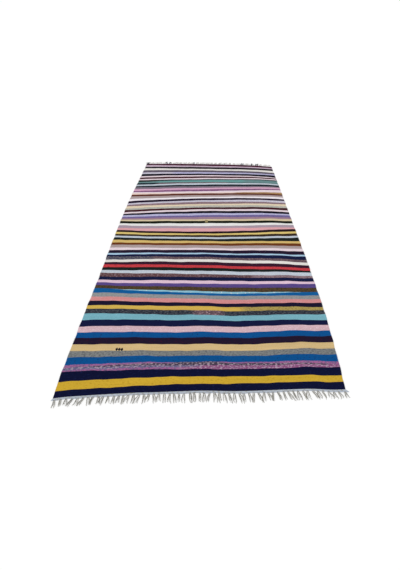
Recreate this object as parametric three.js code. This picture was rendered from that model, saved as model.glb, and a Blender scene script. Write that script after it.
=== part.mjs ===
// A striped, flat-woven kilim with a fringe at both ends, lying flat on a floor.
// Lengths are in millimetres. X runs across the rug, Y along it from the near end
// to the far end, and Z up. The origin is under the middle of the bounding box.

import * as THREE from 'three';

// Driving dimensions
const CLOTH_THICKNESS = 3;
const BAND_THICKNESS = 3;
const PIECE_GAP = 0.3;
const LENGTH_STEPS = 120;
const WIDTH_STEPS = 40;

// The selvedges, from the near end (along 0) to the far end (along 1).
// Loom tension lets the cloth belly out a little between its ends.
const SELVEDGES = [
  { along: 0.00, left: -819, right: 793 },
  { along: 0.03, left: -824, right: 803 },
  { along: 0.06, left: -827, right: 808 },
  { along: 0.12, left: -827, right: 820 },
  { along: 0.20, left: -831, right: 830 },
  { along: 0.30, left: -830, right: 832 },
  { along: 0.42, left: -836, right: 831 },
  { along: 0.54, left: -838, right: 825 },
  { along: 0.64, left: -838, right: 820 },
  { along: 0.76, left: -828, right: 816 },
  { along: 0.86, left: -814, right: 810 },
  { along: 0.96, left: -803, right: 805 },
  { along: 1.00, left: -797, right: 804 },
];

// The woven ends, from the left selvedge (across 0) to the right one (across 1).
// The near end runs askew, so the left side is about 0.1 m longer than the right.
const WOVEN_ENDS = [
  { across: 0.00, near: -1662, far: 1620 },
  { across: 0.05, near: -1649, far: 1628 },
  { across: 0.25, near: -1615, far: 1648 },
  { across: 0.34, near: -1605, far: 1653 },
  { across: 0.50, near: -1586, far: 1660 },
  { across: 0.60, near: -1583, far: 1662 },
  { across: 0.67, near: -1577, far: 1662 },
  { across: 0.75, near: -1567, far: 1660 },
  { across: 0.82, near: -1558, far: 1656 },
  { across: 0.88, near: -1552, far: 1650 },
  { across: 0.95, near: -1553, far: 1633 },
  { across: 1.00, near: -1548, far: 1615 },
];

// Each stripe draws the selvedge in or lets it out by a millimetre or two.
const SELVEDGE_RIPPLE = [
  { height: 1.3, waves: 17, leftPhase: 0.4, rightPhase: 2.1 },
  { height: 0.9, waves: 29, leftPhase: 1.9, rightPhase: 0.3 },
];

// The two fringes. Depths and lengths are measured along Y from the woven end.
// A lock is two strands that leave the band side by side and spread apart.
const FRINGES = [
  {
    name: 'fringe_near', end: 'near', direction: -1, seed: 3,
    bandDepth: 14, bandRipple: 1.6, locks: 58,
    lengthMin: 42, lengthMax: 58, flareLeft: -0.5, flareRight: 1.2,
  },
  {
    name: 'fringe_far', end: 'far', direction: 1, seed: 8,
    bandDepth: 7, bandRipple: 0.8, locks: 60,
    lengthMin: 42, lengthMax: 62, flareLeft: -0.3, flareRight: 0.3,
  },
];

// How far the strands lean sideways, in millimetres for each millimetre of length.
const FRINGE_LEAN = [
  { across: 0.00, near: 0.12, far: -0.22 },
  { across: 0.07, near: -0.05, far: -0.15 },
  { across: 0.20, near: -0.12, far: -0.05 },
  { across: 0.45, near: 0.02, far: 0.06 },
  { across: 0.70, near: 0.12, far: -0.02 },
  { across: 0.85, near: 0.30, far: 0.05 },
  { across: 1.00, near: 0.26, far: 0.18 },
];

// The strands' length as a share of the fringe's own, because the near corners are shorter.
const FRINGE_TRIM = [
  { across: 0.00, near: 0.78, far: 1.00 },
  { across: 0.18, near: 0.88, far: 1.00 },
  { across: 0.35, near: 0.98, far: 1.00 },
  { across: 0.85, near: 1.00, far: 1.00 },
  { across: 1.00, near: 0.66, far: 1.00 },
];

// A strand's section, from its root at the band to its tip, at fractions of its length.
const STRAND_SECTION = [
  { at: 0.00, width: 4.2, height: 3.0 },
  { at: 0.35, width: 4.6, height: 4.0 },
  { at: 0.75, width: 4.2, height: 3.6 },
  { at: 1.00, width: 2.4, height: 2.0 },
];

// How the strands lie. A line is aimed at a point STRAND_REACH beyond the band.
const STRAND_REACH = 66;
const STRAND_STEPS = 4;
const ROOT_SPACING = 6.2;
const TIP_SPREAD_MIN = 7;
const TIP_SPREAD_MAX = 14;
const STRAND_SPACING_LEAST = 6.6;
const GIRTH_VARIATION = 0.18;
const LEAN_VARIATION = 0.20;
const CURL_HEIGHT = 1.0;
const BOW_MAX = 4.5;
const TOP_NARROWING = 0.6;
const LOCK_JITTER = 0.12;
const NOTCH_DEPTH = 1.2;
const WEB_DEPTH = 0.7;

// The band's outer edge: its flare at the two ends and its slight waviness.
const BAND_END_MARGIN = 0.006;
const BAND_END_SHARE = 0.08;
const BAND_WAVES = 9;
const BAND_WAVE_DRIFT = 0.7;
const BAND_DRIFT_RATE = 11;

// A smooth curve through one column of a table, by a cubic between its rows
function tableValue(rows, key, column, at) {
  const last = rows.length - 1;
  const place = Math.min(Math.max(at, rows[0][key]), rows[last][key]);
  let i = 0;
  while (i < last - 1 && place > rows[i + 1][key]) {
    i += 1;
  }
  const slope = (a, b) => (rows[b][column] - rows[a][column]) / (rows[b][key] - rows[a][key]);
  const span = rows[i + 1][key] - rows[i][key];
  const startSlope = slope(Math.max(i - 1, 0), i + 1);
  const endSlope = slope(i, Math.min(i + 2, last));
  const u = (place - rows[i][key]) / span;
  const rise = u * u * (3 - 2 * u);
  const startPull = u * (1 - u) * (1 - u) * span * startSlope;
  const endPull = u * u * (1 - u) * span * endSlope;
  return rows[i][column] + rise * (rows[i + 1][column] - rows[i][column]) + startPull - endPull;
}

// A repeatable value from 0 to 1 for a numbered thing
function scatter(index, seed) {
  const wave = Math.sin(index * 12.9898 + seed * 78.233) * 43758.5453;
  return wave - Math.floor(wave);
}

// The selvedge's X on one side, ripple included
function selvedgeX(side, along) {
  const ripple = SELVEDGE_RIPPLE.reduce((sum, wave) => {
    return sum + wave.height * Math.sin(2 * Math.PI * wave.waves * along + wave[`${side}Phase`]);
  }, 0);
  return tableValue(SELVEDGES, 'along', side, along) + ripple;
}

// A point of the cloth in plan, from its place across and along
function clothPoint(across, along) {
  const near = tableValue(WOVEN_ENDS, 'across', 'near', across);
  const far = tableValue(WOVEN_ENDS, 'across', 'far', across);
  const x = THREE.MathUtils.lerp(selvedgeX('left', along), selvedgeX('right', along), across);
  return new THREE.Vector2(x, THREE.MathUtils.lerp(near, far, along));
}

// The woven cloth: its outline, walked once around, and raised to its thickness
function clothGeometry() {
  const outline = [];
  for (let i = 0; i < WIDTH_STEPS; i += 1) {
    outline.push(clothPoint(i / WIDTH_STEPS, 0));
  }
  for (let i = 0; i < LENGTH_STEPS; i += 1) {
    outline.push(clothPoint(1, i / LENGTH_STEPS));
  }
  for (let i = WIDTH_STEPS; i > 0; i -= 1) {
    outline.push(clothPoint(i / WIDTH_STEPS, 1));
  }
  for (let i = LENGTH_STEPS; i > 0; i -= 1) {
    outline.push(clothPoint(0, i / LENGTH_STEPS));
  }
  return new THREE.ExtrudeGeometry(new THREE.Shape(outline), { depth: CLOTH_THICKNESS, bevelEnabled: false });
}

// The band's two long edges: the inner one beside the cloth, the outer one above the strands
function bandEdge(fringe, across, outer) {
  const edge = clothPoint(across, fringe.end === 'near' ? 0 : 1);
  if (!outer) {
    return new THREE.Vector2(edge.x, edge.y + fringe.direction * PIECE_GAP);
  }
  const drift = BAND_WAVE_DRIFT * Math.sin(BAND_DRIFT_RATE * across);
  const depth = fringe.bandDepth + fringe.bandRipple * Math.sin(2 * Math.PI * (BAND_WAVES * across + drift));
  const leftShare = THREE.MathUtils.clamp(1 - across / BAND_END_SHARE, 0, 1);
  const rightShare = THREE.MathUtils.clamp(1 - (1 - across) / BAND_END_SHARE, 0, 1);
  const flare = fringe.flareLeft * leftShare + fringe.flareRight * rightShare;
  return new THREE.Vector2(edge.x + flare * depth, edge.y + fringe.direction * depth);
}

// Every lock: its place across and its two strands, each with its root, the point that
// it aims at, its curl, its length and its girth. A lock's strands bow apart and come back.
// The aims keep their order and a least spacing, so that no strand crosses the next.
function fringeLocks(fringe) {
  const locks = [];
  let lastAim = -Infinity;
  let lastBow = 0;
  for (let lock = 0; lock < fringe.locks; lock += 1) {
    const value = (kind) => scatter(lock, fringe.seed + kind);
    const place = (lock + 0.5 + LOCK_JITTER * (2 * value(0) - 1)) / fringe.locks;
    const across = BAND_END_MARGIN + (1 - 2 * BAND_END_MARGIN) * place;
    const lean = tableValue(FRINGE_LEAN, 'across', fringe.end, across) + LEAN_VARIATION * (2 * value(1) - 1);
    const spread = THREE.MathUtils.lerp(TIP_SPREAD_MIN, TIP_SPREAD_MAX, value(2));
    const curl = CURL_HEIGHT * (2 * value(3) - 1);
    const bow = BOW_MAX * value(4);
    const trim = tableValue(FRINGE_TRIM, 'across', fringe.end, across);
    const root = bandEdge(fringe, across, true);
    const strands = [-0.5, 0.5].map((side) => {
      const wantedAim = root.x + side * spread + lean * STRAND_REACH;
      const room = side < 0 ? lastBow + bow : 0;
      const aimX = Math.max(wantedAim, lastAim + STRAND_SPACING_LEAST + room);
      lastAim = aimX;
      return {
        rootX: root.x + side * ROOT_SPACING,
        rootY: root.y,
        aimX,
        curl: curl + 2 * side * bow,
        length: trim * THREE.MathUtils.lerp(fringe.lengthMin, fringe.lengthMax, value(5 + side)),
        girth: 1 + GIRTH_VARIATION * (2 * value(7 + side) - 1),
      };
    });
    lastBow = bow;
    locks.push({ across, strands });
  }
  return locks;
}

// One side of a strand, from its root to its tip: -1 is its left side and 1 its right
function strandSide(fringe, strand, side) {
  const points = [];
  for (let step = 0; step <= STRAND_STEPS; step += 1) {
    const share = step / STRAND_STEPS;
    const reached = share * strand.length / STRAND_REACH;
    const curl = strand.curl * Math.sin(Math.PI * reached);
    const centreX = THREE.MathUtils.lerp(strand.rootX, strand.aimX, reached) + curl;
    const half = strand.girth * tableValue(STRAND_SECTION, 'at', 'width', share) / 2;
    const height = strand.girth * tableValue(STRAND_SECTION, 'at', 'height', share);
    points.push({
      x: centreX + side * half,
      y: strand.rootY + fringe.direction * share * strand.length,
      topX: centreX + side * half * (step === 0 ? 1 : TOP_NARROWING),
      height: step === 0 ? BAND_THICKNESS : height,
    });
  }
  return points;
}

// A point of the band, at its full thickness
function bandPoint(x, y) {
  return { x, y, topX: x, height: BAND_THICKNESS };
}

// A band and its strands: the outline, walked once around, and the panels that fill it.
// The band is one panel, and each strand has one panel between each two of its sections.
function fringePlan(fringe) {
  const inner = [];
  for (let i = 0; i <= WIDTH_STEPS; i += 1) {
    const edge = bandEdge(fringe, i / WIDTH_STEPS, false);
    inner.push(bandPoint(edge.x, edge.y));
  }
  const start = bandEdge(fringe, 0, true);
  const finish = bandEdge(fringe, 1, true);
  const outer = [bandPoint(start.x, start.y)];
  const bandOuter = [...outer];
  const panels = [];
  const addBandPoint = (x, y) => {
    const point = bandPoint(x, y);
    outer.push(point);
    bandOuter.push(point);
  };
  const addStrand = (strand) => {
    const left = strandSide(fringe, strand, -1);
    const right = strandSide(fringe, strand, 1);
    for (let step = 0; step < STRAND_STEPS; step += 1) {
      panels.push([left[step], left[step + 1], right[step + 1], right[step]]);
    }
    outer.push(...left, ...[...right].reverse());
    bandOuter.push(left[0], right[0]);
  };
  const locks = fringeLocks(fringe);
  locks.forEach((lock, index) => {
    const [left, right] = lock.strands;
    addStrand(left);
    addBandPoint((left.rootX + right.rootX) / 2, left.rootY - fringe.direction * NOTCH_DEPTH);
    addStrand(right);
    if (index < locks.length - 1) {
      const web = bandEdge(fringe, (lock.across + locks[index + 1].across) / 2, true);
      addBandPoint(web.x, web.y + fringe.direction * WEB_DEPTH);
    }
  });
  addBandPoint(finish.x, finish.y);
  panels.push([...inner, ...bandOuter.reverse()]);
  return { outline: [...inner, ...outer.reverse()], panels };
}

// A closed slab that lies level on the floor. Each point of its outline has its own
// height, and its upper corner may stand in from the lower one.
function slabGeometry({ outline, panels }) {
  const plan = (points) => points.map((point) => new THREE.Vector2(point.x, point.y));
  if (THREE.ShapeUtils.isClockWise(plan(outline))) {
    outline.reverse();
  }
  const count = outline.length;
  const place = new Map(outline.map((point, index) => [point, index]));
  const faces = [];
  for (const panel of panels) {
    for (const triangle of THREE.ShapeUtils.triangulateShape(plan(panel), [])) {
      const [a, b, c] = triangle.map((corner) => place.get(panel[corner]));
      faces.push(c, b, a);
      faces.push(a + count, b + count, c + count);
    }
  }
  for (let i = 0; i < count; i += 1) {
    const next = (i + 1) % count;
    faces.push(i, next, next + count);
    faces.push(i, next + count, i + count);
  }
  const lower = outline.flatMap((point) => [point.x, point.y, 0]);
  const upper = outline.flatMap((point) => [point.topX, point.y, point.height]);
  const geometry = new THREE.BufferGeometry();
  geometry.setAttribute('position', new THREE.Float32BufferAttribute([...lower, ...upper], 3));
  geometry.setIndex(faces);
  return geometry;
}

// The pieces as named meshes
const group = new THREE.Group();

const clothMaterial = new THREE.MeshStandardMaterial({ color: 0x6d6476, roughness: 0.95, metalness: 0 });
const cloth = new THREE.Mesh(clothGeometry(), clothMaterial);
cloth.name = 'kilim_cloth';
group.add(cloth);

const warpMaterial = new THREE.MeshStandardMaterial({ color: 0xd5d4ce, roughness: 0.95, metalness: 0 });
for (const fringe of FRINGES) {
  const mesh = new THREE.Mesh(slabGeometry(fringePlan(fringe)), warpMaterial);
  mesh.name = fringe.name;
  group.add(mesh);
}

// The origin goes under the middle of the bounding box
const box = new THREE.Box3().setFromObject(group);
const middle = box.getCenter(new THREE.Vector3());
group.position.set(-middle.x, -middle.y, 0);

export default group;
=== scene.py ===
"""A striped, flat-woven kilim with a fringe at both ends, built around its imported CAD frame.

The scene is in metres. The tables that lay out the cloth are in millimetres.
"""

import math

import bpy
import numpy as np
from mathutils import Matrix, Vector


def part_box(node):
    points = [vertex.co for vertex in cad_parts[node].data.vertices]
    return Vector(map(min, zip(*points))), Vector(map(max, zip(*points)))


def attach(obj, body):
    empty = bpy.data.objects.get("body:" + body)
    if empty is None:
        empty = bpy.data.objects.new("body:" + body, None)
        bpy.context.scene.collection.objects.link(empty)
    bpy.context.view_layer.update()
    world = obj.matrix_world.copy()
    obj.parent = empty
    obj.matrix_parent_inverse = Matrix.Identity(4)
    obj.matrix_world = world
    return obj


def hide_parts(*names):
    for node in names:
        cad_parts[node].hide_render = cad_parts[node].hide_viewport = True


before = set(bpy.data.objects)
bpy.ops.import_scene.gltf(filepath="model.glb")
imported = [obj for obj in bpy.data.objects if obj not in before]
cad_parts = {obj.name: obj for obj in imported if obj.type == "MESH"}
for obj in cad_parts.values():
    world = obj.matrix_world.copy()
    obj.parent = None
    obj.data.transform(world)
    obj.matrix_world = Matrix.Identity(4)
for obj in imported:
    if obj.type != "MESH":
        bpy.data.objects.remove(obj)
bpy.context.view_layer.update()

bl_info = {
    "name": "Striped Kilim",
    "version": (1, 0, 0),
    "blender": (4, 5, 0),
    "location": "3D View > Sidebar > Kilim",
    "description": "Builds a striped, flat-woven kilim with its end bands, fringes and hand stitching",
    "category": "Add Mesh",
}

MM = 0.001
CLOTH_NODE = "kilim_cloth"

# The selvedges: along the cloth from its near end, then the left and right X in millimetres
SELVEDGES = (
    (0.00, -819, 793),
    (0.03, -824, 803),
    (0.06, -827, 808),
    (0.12, -827, 820),
    (0.20, -831, 830),
    (0.30, -830, 832),
    (0.42, -836, 831),
    (0.54, -838, 825),
    (0.64, -838, 820),
    (0.76, -828, 816),
    (0.86, -814, 810),
    (0.96, -803, 805),
    (1.00, -797, 804),
)
LEFT = 1
RIGHT = 2

# The woven ends: across the cloth from its left selvedge, then the near and far Y in millimetres
WOVEN_ENDS = (
    (0.00, -1662, 1620),
    (0.05, -1649, 1628),
    (0.25, -1615, 1648),
    (0.34, -1605, 1653),
    (0.50, -1586, 1660),
    (0.60, -1583, 1662),
    (0.67, -1577, 1662),
    (0.75, -1567, 1660),
    (0.82, -1558, 1656),
    (0.88, -1552, 1650),
    (0.95, -1553, 1633),
    (1.00, -1548, 1615),
)
NEAR = 1
FAR = 2

# The selvedges' ripple: height in millimetres, waves along the cloth, left phase, right phase
SELVEDGE_RIPPLE = (
    (1.3, 17, 0.4, 2.1),
    (0.9, 29, 1.9, 0.3),
)

# The two fringes. A lock is two strands that leave the band side by side and spread apart.
FRINGES = {
    "near": {
        "node": "fringe_near", "end": NEAR, "direction": -1, "seed": 3,
        "band_depth": 14, "band_ripple": 1.6, "locks": 58,
        "length_min": 42, "length_max": 58, "flare_left": -0.5, "flare_right": 1.2,
    },
    "far": {
        "node": "fringe_far", "end": FAR, "direction": 1, "seed": 8,
        "band_depth": 7, "band_ripple": 0.8, "locks": 60,
        "length_min": 42, "length_max": 62, "flare_left": -0.3, "flare_right": 0.3,
    },
}

# How far the strands lean sideways for each unit of length: across, near end, far end
FRINGE_LEAN = (
    (0.00, 0.12, -0.22),
    (0.07, -0.05, -0.15),
    (0.20, -0.12, -0.05),
    (0.45, 0.02, 0.06),
    (0.70, 0.12, -0.02),
    (0.85, 0.30, 0.05),
    (1.00, 0.26, 0.18),
)

# The strands' length as a share of the fringe's own: across, near end, far end
FRINGE_TRIM = (
    (0.00, 0.78, 1.00),
    (0.18, 0.88, 1.00),
    (0.35, 0.98, 1.00),
    (0.85, 1.00, 1.00),
    (1.00, 0.66, 1.00),
)

# The strands. Lengths are in millimetres, and shares are of the strand's length or of a ply's radius.
LENGTH_SEED = 5
STRAND_SEED = 20
STRAND_REACH = 66
ROOT_SPACING = 6.2
TIP_SPREAD_MIN = 7
TIP_SPREAD_MAX = 14
STRAND_SPACING_LEAST = 6.6
LEAN_VARIATION = 0.20
CURL_HEIGHT = 1.0
BOW_MAX = 4.5
LOCK_JITTER = 0.12
STRAND_RINGS = 19
ROOT_DEPTH = 4.0
STRAND_BULGE = 4.6
BULGE_INWARD = 0.7
STRAND_HEIGHT = 1.9
STRAND_RISE = 0.6
CROSSING_RISE = 1.8
WAVE_HEIGHT = 0.8
WAVE_RATE = 7.0
TIP_START = 0.72
TIP_OPENING = 0.9
THINNING_START = 0.55
TIP_THINNING = 0.6
HOOK_MAX = 6.0
HOOKED_ABOVE = 0.7
SLIGHT_HOOK = 0.3
PLY_LEAST = 0.84
PLY_RANGE = 0.28
PLY_OFFSET = 0.9
PLY_FLATNESS = 0.85
PLY_SIDES = 6
PLY_POINT = 0.6
SHADE_LEAST = 0.62
SHADE_RANGE = 0.45
WARP_TINT = (1.0, 0.99, 0.97)

# The far fringe's locks that are coloured dark navy, and how much thicker their plies are
DARK_LOCKS = (0, 9, 10, 22, 45, 46, 50, 52, 53)
DARK_STRAND = 1.5

# How the strands lean together into clumps, and out at the near left corner
GATHER_REACH = 7.0
GATHER_PITCH = 58.0
GATHER_DRIFT = 0.9
GATHER_LENGTH = 330.0
GATHERED_AT = 0.7
CORNER_SHIFT = 3.0
CORNER_POWER = 12

# The loose single threads of a lock
WISPS = 2
WISP_SEED = 60
WISP_RINGS = 12
WISP_SIDES = 5
WISP_SHARE = 0.62
WISP_THINNING = 0.5
WISP_RISE = 3.4
WISP_LEAD = 0.1
WISP_WANDER = 5.0
WISP_CROSSING = 0.4
WISP_LENGTH_LEAST = 0.6
WISP_LENGTH_RANGE = 0.45

# The dark tuft at the far left corner
TUFT_SEED = 90
TUFT_ENDS = 16
TUFT_WIDTH = 30
TUFT_DEPTH = 34
TUFT_LENGTH = 74
TUFT_LENGTH_LEAST = 0.35
TUFT_LEAN = 0.28
TUFT_SPREAD = 0.25
TUFT_THINNING = 0.3
TUFT_WAVE = 3
TUFT_WAVE_RATE = 5
TUFT_RISE = 4.0
TUFT_FALL_START = 0.2
TUFT_FALL_END = 0.8
TUFT_ARCH_START = 0.25
TUFT_ARCH = 0.5

# The end bands
BAND_SHARE = 0.92
BAND_TUCK = 0.6
BAND_ROW = 2.5
BAND_LEAST_ROWS = 3
BAND_FLECKS = 0.4
BAND_WEAVE_START = 7
BAND_END_MARGIN = 0.006
BAND_END_SHARE = 0.08
BAND_WAVES = 9
BAND_WAVE_DRIFT = 0.7
BAND_DRIFT_RATE = 11

# The yarns: colour out of 255, then the colour and the share of the flecks that are spun in.
# A colour without flecks is for flecks, bands, strands and stitches alone.
YARNS = {
    "navy": (6, 11, 46, "navy_light", 0.20),
    "navy_light": (18, 28, 72),
    "blue_navy": (12, 20, 58, "navy_light", 0.25),
    "dark_navy": (22, 15, 42, "navy", 0.30),
    "black_navy": (8, 8, 26, "navy", 0.20),
    "mustard": (204, 166, 50, "mustard_deep", 0.25),
    "mustard_deep": (180, 140, 36),
    "bright_mustard": (208, 174, 82, "mustard", 0.25),
    "pale_mustard": (216, 192, 112, "straw", 0.30),
    "olive_mustard": (170, 150, 82, "olive_brown", 0.25),
    "melange_pink": (168, 98, 148, "melange_lavender", 0.60),
    "melange_rose": (136, 80, 122, "pink_lilac", 0.40),
    "melange_lavender": (100, 94, 128, "lilac_grey", 0.50),
    "melange_dark": (68, 58, 76, "lilac_grey", 0.46),
    "royal_blue": (4, 78, 140, "navy_light", 0.15),
    "bright_blue": (10, 90, 150, "royal_blue", 0.30),
    "grey": (128, 130, 129, "iron_grey", 0.48),
    "iron_grey": (90, 94, 98),
    "light_grey": (146, 148, 150, "grey", 0.45),
    "charcoal": (34, 38, 52, "iron_grey", 0.46),
    "dark_charcoal": (24, 22, 28, "black_navy", 0.20),
    "straw": (208, 180, 130, "gold_straw", 0.25),
    "aubergine": (28, 18, 42, "plum_maroon", 0.15),
    "pale_pink": (208, 174, 182, "white_pink", 0.25),
    "lilac_pink": (220, 190, 208, "white_pink", 0.25),
    "white_pink": (229, 210, 219, "white", 0.25),
    "white_lilac": (240, 232, 240, "white", 0.25),
    "aqua": (116, 172, 186, "light_aqua", 0.20),
    "light_aqua": (138, 188, 206, "white", 0.15),
    "salmon": (208, 136, 136, "pale_pink", 0.15),
    "salmon_rose": (222, 162, 168, "pale_pink", 0.25),
    "olive_brown": (82, 64, 40, "dark_green", 0.40),
    "dark_brown": (30, 14, 18, "aubergine", 0.30),
    "olive_dark": (30, 14, 18, "olive_brown", 0.50),
    "violet": (84, 66, 132, "melange_lavender", 0.25),
    "soft_violet": (114, 102, 150, "violet", 0.40),
    "brown_mauve": (90, 60, 62, "grey_rose", 0.34),
    "grey_rose": (150, 126, 134, "brown_mauve", 0.48),
    "ice_blue": (186, 196, 208, "white", 0.20),
    "dark_green": (18, 28, 24, "navy", 0.20),
    "dark_olive": (14, 22, 4, "dark_green", 0.30),
    "red": (198, 60, 68, "maroon", 0.20),
    "ecru": (224, 220, 214, "white", 0.30),
    "marl_brown": (94, 74, 82, "taupe", 0.25),
    "pink_marl": (94, 74, 82, "pale_pink", 0.22),
    "slate": (68, 70, 86, "taupe", 0.25),
    "sky_blue": (164, 198, 222, "ice_blue", 0.20),
    "taupe": (168, 152, 150, "lilac_grey", 0.25),
    "rust": (106, 50, 12, "olive_brown", 0.25),
    "rust_brown": (88, 42, 34, "rust", 0.30),
    "gold_straw": (208, 178, 106, "straw", 0.25),
    "gold_brown": (162, 126, 86, "gold_straw", 0.25),
    "peach": (228, 202, 186, "white_pink", 0.25),
    "lilac_grey": (166, 148, 164, "taupe", 0.25),
    "white": (230, 230, 228, "ecru", 0.25),
    "lavender": (175, 174, 211, "white_lilac", 0.20),
    "pale_lavender": (192, 188, 206, "white_lilac", 0.30),
    "maroon": (66, 22, 32, "aubergine", 0.25),
    "wine": (54, 18, 40, "aubergine", 0.30),
    "grey_green": (172, 172, 162, "ecru", 0.25),
    "cream": (211, 195, 161, "straw", 0.20),
    "warm_cream": (224, 206, 180, "cream", 0.30),
    "mauve": (154, 122, 142, "grey_rose", 0.40),
    "plum": (120, 74, 116, "orchid", 0.20),
    "orchid": (210, 160, 188, "white_pink", 0.20),
    "pink_lilac": (188, 164, 184, "white_lilac", 0.25),
    "grey_mauve": (120, 108, 124, "taupe", 0.20),
    "teal": (98, 152, 150, "grey_teal", 0.30),
    "deep_teal": (50, 66, 70, "dark_teal", 0.30),
    "grey_teal": (100, 132, 134, "teal", 0.30),
    "dark_teal": (12, 30, 38, "charcoal", 0.25),
    "slate_purple": (88, 80, 96, "lilac_grey", 0.15),
    "plum_maroon": (66, 4, 38, "maroon", 0.30),
    "end_band": (180, 188, 200),
    # The warp's colour darkened for the near fringe's strands, which is painted shade; the end bands'
    # flecks take it too
    "warp": (158, 156, 148),
    "pale_warp": (206, 200, 194),
    "darning": (166, 152, 110),
}

# The stripes from the near end to the far end: yarn, then the width in millimetres
# near the left selvedge, in the middle and near the right selvedge
STRIPES = (
    ("navy", 40, 45, 48),
    ("mustard", 55, 48, 42),
    ("navy", 64, 50, 57),
    ("melange_pink", 10, 17, 19),
    ("melange_lavender", 17, 10, 0),
    ("melange_dark", 4, 17, 6),
    ("melange_pink", 16, 7, 18),
    ("royal_blue", 52, 45, 51),
    ("grey", 46, 38, 45),
    ("straw", 51, 50, 50),
    ("aubergine", 52, 53, 51),
    ("royal_blue", 46, 46, 48),
    ("pale_pink", 51, 49, 49),
    ("blue_navy", 58, 55, 46),
    ("aqua", 58, 47, 52),
    ("charcoal", 45, 44, 40),
    ("bright_mustard", 34, 40, 33),
    ("dark_navy", 44, 35, 42),
    ("salmon", 42, 41, 37),
    ("light_grey", 41, 38, 39),
    ("bright_blue", 43, 24, 36),
    ("light_aqua", 0, 21, 0),
    ("olive_brown", 35, 46, 48),
    ("violet", 33, 39, 45),
    ("lilac_pink", 31, 35, 29),
    ("blue_navy", 39, 42, 40),
    ("brown_mauve", 47, 36, 29),
    ("ice_blue", 35, 40, 42),
    ("dark_green", 38, 40, 27),
    ("red", 36, 33, 33),
    ("wine", 32, 44, 40),
    ("ecru", 33, 35, 37),
    ("marl_brown", 42, 32, 35),
    ("blue_navy", 27, 40, 48),
    ("sky_blue", 22, 19, 21),
    ("aubergine", 43, 45, 51),
    ("white_pink", 34, 26, 38),
    ("taupe", 43, 43, 41),
    ("rust", 32, 33, 40),
    ("gold_straw", 42, 33, 34),
    ("dark_green", 37, 36, 54),
    ("ice_blue", 28, 28, 29),
    ("olive_dark", 30, 34, 40),
    ("pale_mustard", 31, 26, 34),
    ("dark_brown", 33, 35, 43),
    ("salmon_rose", 37, 58, 33),
    ("lilac_grey", 46, 39, 46),
    ("white", 37, 49, 33),
    ("dark_olive", 43, 45, 44),
    ("cream", 29, 30, 36),
    ("mauve", 28, 41, 33),
    ("soft_violet", 30, 38, 42),
    ("lavender", 34, 39, 28),
    ("black_navy", 33, 45, 44),
    ("white_pink", 30, 36, 34),
    ("maroon", 42, 40, 48),
    ("grey_green", 36, 42, 40),
    ("warm_cream", 43, 32, 40),
    ("grey_rose", 35, 48, 35),
    ("pale_lavender", 31, 36, 44),
    ("aubergine", 50, 46, 41),
    ("white_lilac", 42, 31, 40),
    ("taupe", 55, 43, 42),
    ("rust_brown", 41, 43, 33),
    ("peach", 29, 17, 37),
    ("white_pink", 29, 37, 57),
    ("plum", 36, 47, 28),
    ("orchid", 41, 38, 37),
    ("grey_mauve", 48, 41, 27),
    ("dark_teal", 36, 43, 44),
    ("ice_blue", 35, 40, 35),
    ("dark_teal", 42, 24, 6),
    ("teal", 34, 58, 74),
    ("deep_teal", 44, 27, 27),
    ("white_pink", 32, 32, 26),
    ("maroon", 48, 49, 33),
    ("white_pink", 35, 30, 21),
    ("black_navy", 64, 48, 60),
    ("lavender", 43, 40, 31),
    ("slate_purple", 67, 61, 53),
    ("ecru", 60, 42, 56),
    ("dark_charcoal", 51, 60, 55),
    ("pink_lilac", 49, 37, 34),
    ("plum_maroon", 47, 60, 48),
)
CHART_PLACES = (0.066, 0.5, 0.94)

# Where a stripe's yarn was changed along the weft: stripe, the X in millimetres where the other
# yarn starts and ends, and that yarn
YARN_CHANGES = (
    (3, -180, 900, "melange_rose"),
    (4, -60, 900, "melange_rose"),
    (6, -230, 130, "melange_dark"),
    (15, -115, 150, "pink_marl"),
    (16, 220, 900, "olive_mustard"),
    (26, 330, 900, "grey_rose"),
    (32, -900, -420, "slate"),
    (64, 260, 900, "gold_brown"),
    (71, -620, 260, "marl_brown"),
    (72, -900, -560, "grey_teal"),
    (72, 380, 900, "grey_teal"),
    (73, -900, -560, "dark_olive"),
    (78, -900, -400, "pale_lavender"),
)
CHANGE_LENGTH = 70

# Waves of the stripe lines: height in millimetres, waves across the cloth, drift from line to line
LINE_WAVES = (
    (1.6, 3.3, 0.30),
    (1.1, 7.9, 0.80),
    (0.7, 14.3, 1.70),
)
OWN_WAVES = (
    (0.7, 5.1),
    (0.4, 19.7),
)
OWN_WAVE_SEED = 11
LEAST_WIDTH = 0.5
SHOWN_WIDTH = 3.0

# The stitched lozenges on the straw stripe
LOZENGE_X = -528
LOZENGE_Y = -1322
LOZENGE_PITCH = 16
LOZENGE_HALF = 13
LOZENGE_STITCHES = 4
LOZENGE_TAPER = 5.5
STITCH_PITCH = 1.7
STITCH_RADIUS = 1.1
STITCH_CROWN = 1.0
THREAD_RINGS = 7
THREAD_SUNK = 0.6

# The darn: its middle, then its threads along the warp and across them. Each set has a seed, its
# threads on each side of the middle one, their pitch, half length, jitter, radius and crown.
DARN_X = -12
DARN_Y = 232
DARN_WARPS = (41, 5, 2.5, 24, 3, 1.0, 0.9)
DARN_WEFTS = (43, 6, 3.6, 14, 2, 0.8, 1.5)

# The cloth's outline and mesh
OUTLINE_LENGTHS = 120
OUTLINE_WIDTHS = 40
MEAN_WIDTH = 1640
COLUMNS = 148
ROW_LENGTH = 13
LEAST_ROWS = 2
EDGE_STEPS = (0.35, 0.9, 1.7)
EDGE_RADIUS = 1.7
CORNER_HEIGHT = 0.3
RELIEF_SEED = 31
STRIPE_RELIEF = 0.25

# The order of a face's corners that turns it over, to look down
TURNED_OVER = [0, 3, 2, 1]

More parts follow.
